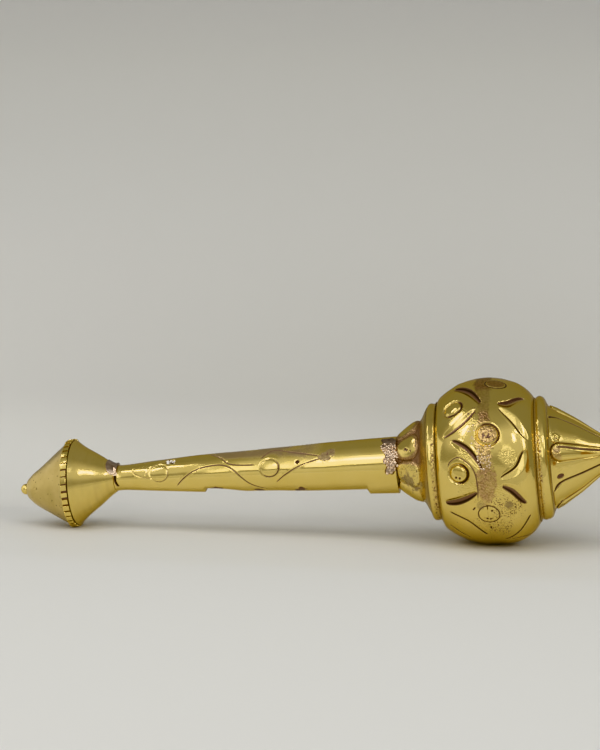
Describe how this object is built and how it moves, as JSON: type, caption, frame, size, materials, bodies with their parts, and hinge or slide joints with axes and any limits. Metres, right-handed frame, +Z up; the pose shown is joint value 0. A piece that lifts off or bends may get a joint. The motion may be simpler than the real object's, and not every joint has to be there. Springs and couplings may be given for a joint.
{
  "type": "ceremonial mace",
  "caption": "Gada-style ceremonial mace of sheet brass: tapered shaft with engraved vine, chased ball head with a pointed petal crown, double-cone pommel; lies on its side.",
  "frame": {"origin": "on the surface that the mace lies on, under the middle of its bounding box", "axes": "+X along the mace from the pommel to the crown, +Z up, -Y the side that shows the neck solder and joint braze"},
  "size_m": [0.318, 0.085, 0.0842],
  "materials": {
    "polished_brass": "polished, with dark brown patina left in the cuts",
    "dull_brass": "dull, lightly tarnished",
    "copper_braze": "lumpy copper-coloured braze"
  },
  "bodies": {
    "root": {"pommel_tip_bead": "polished_brass", "pommel_back_cone": "dull_brass", "pommel_rim_band": "polished_brass", "pommel_front_cone": "polished_brass", "neck_solder": "copper_braze", "shaft": "polished_brass", "joint_braze": "copper_braze", "head_bud": "polished_brass", "lower_collar": "polished_brass", "ball_lower_half": "polished_brass", "ball_upper_half": "polished_brass", "upper_collar": "polished_brass", "crown": "polished_brass", "crown_tip_bead": "polished_brass"}
  },
  "joints": []
}
